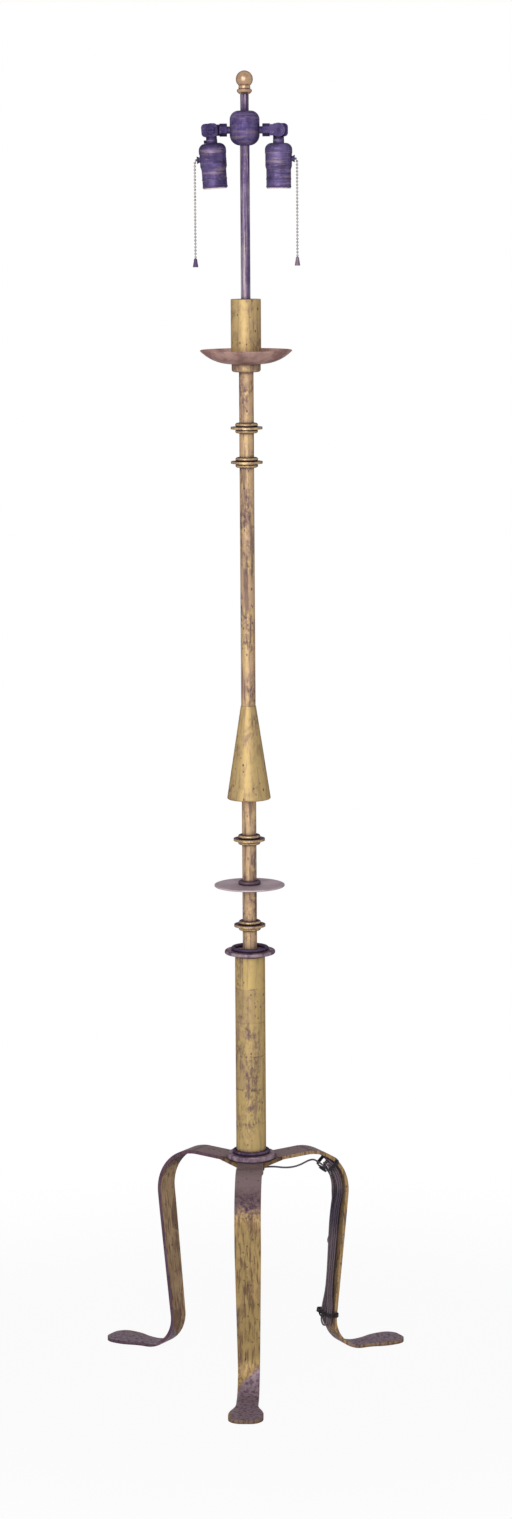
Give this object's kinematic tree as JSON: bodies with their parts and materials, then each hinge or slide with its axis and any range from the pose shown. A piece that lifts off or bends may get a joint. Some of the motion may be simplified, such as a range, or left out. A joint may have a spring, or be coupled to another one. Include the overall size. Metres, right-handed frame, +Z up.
{
  "type": "candlestick floor lamp",
  "caption": "Tripod floor lamp with a ringed candlestick stem, drip dish, swivelling pull-chain lamp sockets and a ball finial.",
  "frame": {"origin": "on the lamp's axis at floor level", "axes": "+Z up, front leg along -Y, socket arms along X"},
  "size_m": [0.419, 0.3898, 1.7632],
  "materials": {
    "gilt_iron": "worn gold leaf over dark bronze",
    "drip_bronze": "aged brown bronze, satin",
    "dark_bronze": "dark aged bronze, satin",
    "brass": "polished, slightly aged",
    "chain_steel": "dull plated",
    "hidden_steel": "plain",
    "liner_paper": "matte",
    "switch_plastic": "moulded",
    "cord_brown": "satin",
    "plug_plastic": "moulded"
  },
  "bodies": {
    "root": {"hub_flange": "gilt_iron", "hub_gussets": "gilt_iron", "front_leg": "gilt_iron", "right_leg": "gilt_iron", "left_leg": "gilt_iron", "column_tube": "gilt_iron", "column_cap": "gilt_iron", "column_rings": "gilt_iron", "stem_tube": "gilt_iron", "knop_discs": "gilt_iron", "knop_rings": "gilt_iron", "cone": "gilt_iron", "cup_collar": "gilt_iron", "candle_sleeve": "gilt_iron", "bobeche": "drip_bronze", "drip_disc": "drip_bronze", "cluster_cover": "dark_bronze", "cluster_cup": "dark_bronze", "knuckle_bases": "dark_bronze", "pivot_screws": "dark_bronze", "arm_nipples": "dark_bronze", "riser_tube": "dark_bronze", "shade_stem": "dark_bronze", "plug_blades": "brass", "cluster_pipe": "hidden_steel", "centre_pipe": "hidden_steel", "hub_nut": "hidden_steel", "cup_nut": "hidden_steel", "hub_cup": "hidden_steel", "supply_wires": "cord_brown", "cord_lead": "cord_brown", "cord_hank": "cord_brown", "cord_tail": "cord_brown", "plug": "plug_plastic", "cord_bushing": "plug_plastic", "cord_ties": "plug_plastic"},
    "finial": {"finial": "brass"},
    "left_socket": {"left_knuckle_swivel": "dark_bronze", "left_socket_cap": "dark_bronze", "left_set_screw": "dark_bronze", "left_socket_shell": "dark_bronze", "left_socket_liner": "liner_paper", "left_switch_body": "switch_plastic", "left_screw_shell": "brass", "left_contact": "brass", "left_chain_guide": "dark_bronze"},
    "left_pull": {"left_pull_link": "chain_steel"},
    "left_chain": {"left_chain": "chain_steel", "left_chain_bell": "chain_steel"},
    "right_socket": {"right_knuckle_swivel": "dark_bronze", "right_socket_cap": "dark_bronze", "right_set_screw": "dark_bronze", "right_socket_shell": "dark_bronze", "right_socket_liner": "liner_paper", "right_switch_body": "switch_plastic", "right_screw_shell": "brass", "right_contact": "brass", "right_chain_guide": "dark_bronze"},
    "right_pull": {"right_pull_link": "chain_steel"},
    "right_chain": {"right_chain": "chain_steel", "right_chain_bell": "chain_steel"}
  },
  "joints": [
    {"name": "finial_lift", "type": "slide", "parent": "root", "child": "finial", "axis": [0, 0, 1], "range_m": [0, 0.014]},
    {"name": "left_knuckle", "type": "hinge", "parent": "root", "child": "left_socket", "pos_m": [-0.0446, 0, 1.686], "axis": [0, 1, 0], "range_deg": [-9, 90]},
    {"name": "right_knuckle", "type": "hinge", "parent": "root", "child": "right_socket", "pos_m": [0.0446, 0, 1.686], "axis": [0, -1, 0], "range_deg": [-12, 90]},
    {"name": "left_pull", "type": "slide", "parent": "left_socket", "child": "left_pull", "axis": [-0.9976, 0, -0.0698], "range_m": [0, 0.008], "stiffness_N_per_m": 400, "springref_m": -0.001},
    {"name": "right_pull", "type": "slide", "parent": "right_socket", "child": "right_pull", "axis": [1, 0, 0], "range_m": [0, 0.008], "stiffness_N_per_m": 400, "springref_m": -0.001},
    {"name": "left_chain_swing", "type": "hinge", "parent": "left_pull", "child": "left_chain", "pos_m": [-0.06452, 0, 1.64691], "axis": [0, 1, 0], "range_deg": [-6, 60]},
    {"name": "right_chain_swing", "type": "hinge", "parent": "right_pull", "child": "right_chain", "pos_m": [0.0672, 0, 1.6484], "axis": [0, -1, 0], "range_deg": [-6, 60]}
  ]
}
